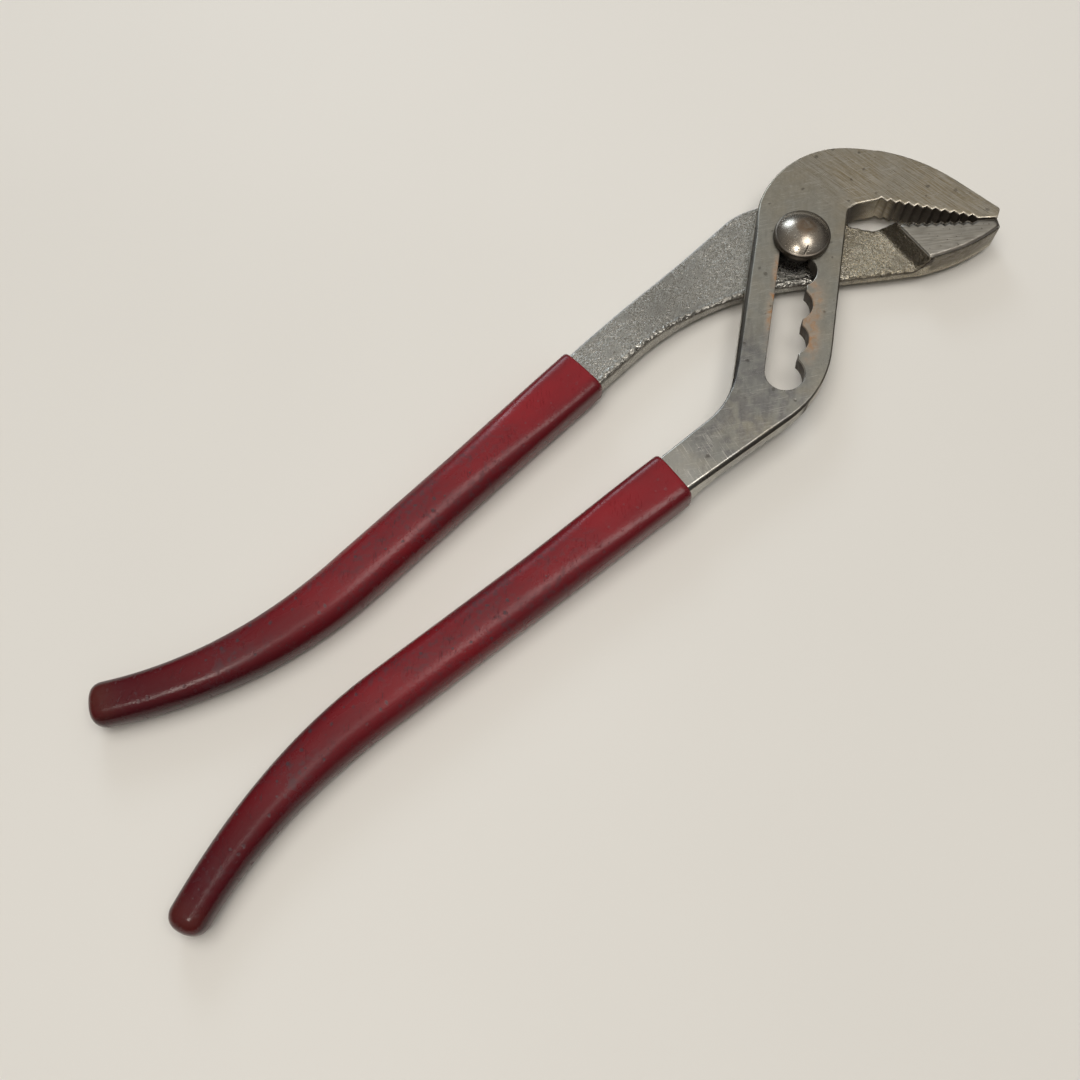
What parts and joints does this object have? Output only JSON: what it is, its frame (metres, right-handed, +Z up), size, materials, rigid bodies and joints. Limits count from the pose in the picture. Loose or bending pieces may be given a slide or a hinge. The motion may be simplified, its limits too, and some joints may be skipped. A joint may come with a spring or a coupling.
{
  "type": "slip joint pliers",
  "caption": "Slip joint pliers with offset toothed jaws, a domed pivot bolt in a notched slot, and dipped grips on long curved handles.",
  "frame": {"origin": "on the pivot axis, at the surface that the tool lies on, which meets the bolt's tail", "axes": "+X along the tool from the handles towards the jaws, +Y towards the upper jaw's back, +Z up from the surface"},
  "size_m": [0.2395, 0.0689, 0.0135],
  "materials": {
    "ground_steel": "ground and worn, with light rust round the slot",
    "forged_steel": "plated over a rough forged face",
    "bolt_steel": "polished dome with brown stains",
    "dipped_grip": "glossy dipped coating, soiled"
  },
  "bodies": {
    "pivot_nut": {"pivot_nut": "bolt_steel"},
    "pivot_half": {"pivot_half": "forged_steel", "pivot_half_grip": "dipped_grip"},
    "pivot_bolt": {"pivot_bolt": "bolt_steel"},
    "slotted_half": {"slotted_half": "ground_steel", "slotted_half_grip": "dipped_grip"}
  },
  "joints": [
    {"name": "jaw_hinge", "type": "hinge", "parent": "pivot_nut", "child": "pivot_half", "pos_m": [0, 0, 0], "axis": [0, 0, -1], "range_deg": [0, 50]},
    {"name": "slip_swing", "type": "hinge", "parent": "pivot_nut", "child": "pivot_bolt", "pos_m": [0, 0, 0], "axis": [0, 0, 1], "range_deg": [0, 6.01]},
    {"name": "slip_slide", "type": "slide", "parent": "pivot_bolt", "child": "slotted_half", "axis": [0.7193, 0.6947, 0], "range_m": [0, 0.036]}
  ],
  "couplings": [
    {"joint": "slip_swing", "follows": "slip_slide", "rad_per_m": 2.9089}
  ]
}
